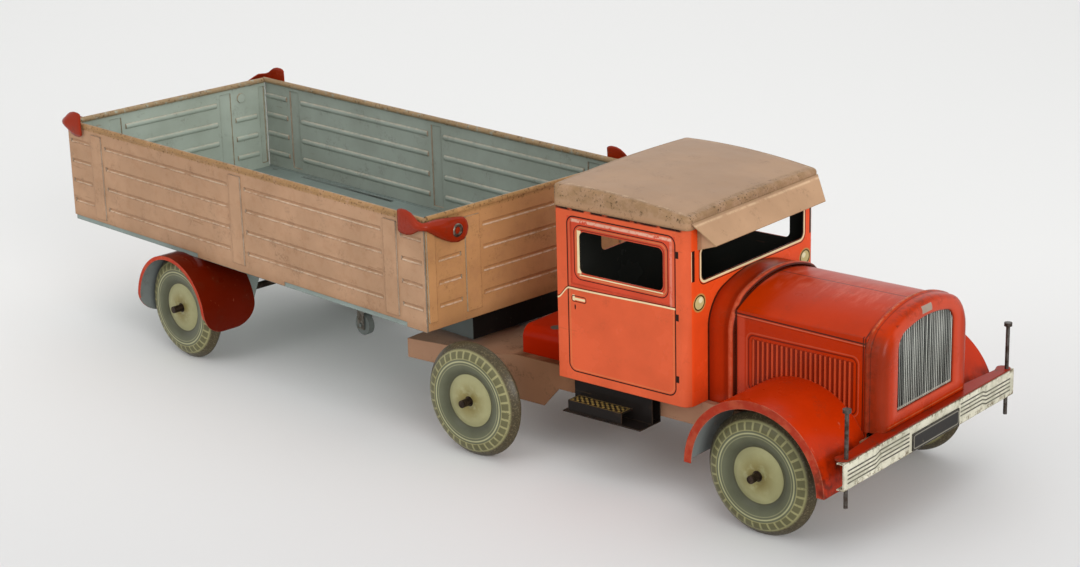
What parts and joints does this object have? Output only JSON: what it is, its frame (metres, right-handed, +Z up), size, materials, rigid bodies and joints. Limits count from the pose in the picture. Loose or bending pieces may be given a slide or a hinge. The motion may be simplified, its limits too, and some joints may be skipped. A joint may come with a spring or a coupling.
{
  "type": "tin toy lorry",
  "caption": "Vintage pressed-tin toy lorry: a bonneted tractor with a drop-side bed trailer that turns on its king pin and rolls on printed disc wheels",
  "frame": {"origin": "on the floor under the middle of the whole toy's box, with the trailer as it stands in the picture", "axes": "+X forward along the tractor, +Y to its left, +Z up"},
  "size_m": [0.4592, 0.1528, 0.1198],
  "materials": {
    "cab_litho": "printed and varnished tinplate, worn",
    "roof_paint": "printed and varnished tinplate, worn",
    "grille_litho": "printed and varnished tinplate, worn",
    "wing_paint": "varnished tinplate, worn",
    "chassis_paint": "varnished tinplate, worn",
    "cover_paint": "varnished tinplate, worn",
    "bumper_paint": "varnished tinplate, worn",
    "bed_litho": "printed and varnished tinplate, worn",
    "bed_inside": "matt printed tinplate, scratched",
    "latch_paint": "varnished tinplate, worn",
    "step_litho": "printed and varnished tinplate, worn",
    "wheel_litho": "printed and varnished tinplate, worn",
    "axle_steel": "dull steel with brown tarnish",
    "rod_wire": "dull steel wire"
  },
  "bodies": {
    "tractor": {"chassis": "chassis_paint", "cab": "cab_litho", "roof": "roof_paint", "sun_visor": "roof_paint", "cowl": "cab_litho", "bonnet": "cab_litho", "radiator": "cab_litho", "grille": "grille_litho", "front_wing_right": "wing_paint", "front_wing_left": "wing_paint", "apron": "chassis_paint", "bumper": "bumper_paint", "number_plate": "bumper_paint", "width_rod_right": "rod_wire", "width_rod_left": "rod_wire", "step_right": "step_litho", "step_left": "step_litho", "deck_cover": "cover_paint"},
    "rear_wheels": {"rear_axle_disc_right": "wheel_litho", "rear_axle_disc_left": "wheel_litho", "rear_axle_rod": "axle_steel"},
    "front_wheels": {"front_axle_disc_right": "wheel_litho", "front_axle_disc_left": "wheel_litho", "front_axle_rod": "axle_steel"},
    "trailer": {"bed_floor": "bed_inside", "bed_side_right": "bed_litho", "bed_side_left": "bed_litho", "bed_end_front": "bed_litho", "bed_end_rear": "bed_litho", "latch_front_right": "latch_paint", "latch_front_left": "latch_paint", "latch_rear_right": "latch_paint", "latch_rear_left": "latch_paint", "coupling_bracket": "bed_inside", "king_pin": "axle_steel", "axle_carrier": "bed_inside", "rear_wing_right": "wing_paint", "rear_wing_left": "wing_paint", "parking_fork": "axle_steel"},
    "trailer_wheels": {"trailer_axle_disc_right": "wheel_litho", "trailer_axle_disc_left": "wheel_litho", "trailer_axle_rod": "axle_steel"},
    "parking_wheel": {"parking_roller": "axle_steel"}
  },
  "joints": [
    {"name": "trailer_turn", "type": "hinge", "parent": "tractor", "child": "trailer", "pos_m": [0.01283, -0.01078, 0.037], "axis": [0, 0, 1], "range_deg": [-73.7, 86.3]},
    {"name": "rear_axle_roll", "type": "hinge", "parent": "tractor", "child": "rear_wheels", "pos_m": [0.04783, -0.01078, 0.0245], "axis": [0, 1, 0], "continuous": true},
    {"name": "front_axle_roll", "type": "hinge", "parent": "tractor", "child": "front_wheels", "pos_m": [0.18783, -0.01078, 0.0245], "axis": [0, 1, 0], "continuous": true},
    {"name": "trailer_axle_roll", "type": "hinge", "parent": "trailer", "child": "trailer_wheels", "pos_m": [-0.13428, 0.00546, 0.0245], "axis": [0.1097, 0.994, 0], "continuous": true},
    {"name": "parking_wheel_roll", "type": "hinge", "parent": "trailer", "child": "parking_wheel", "pos_m": [-0.07861, -0.00068, 0.0133], "axis": [0.1097, 0.994, 0], "continuous": true}
  ]
}
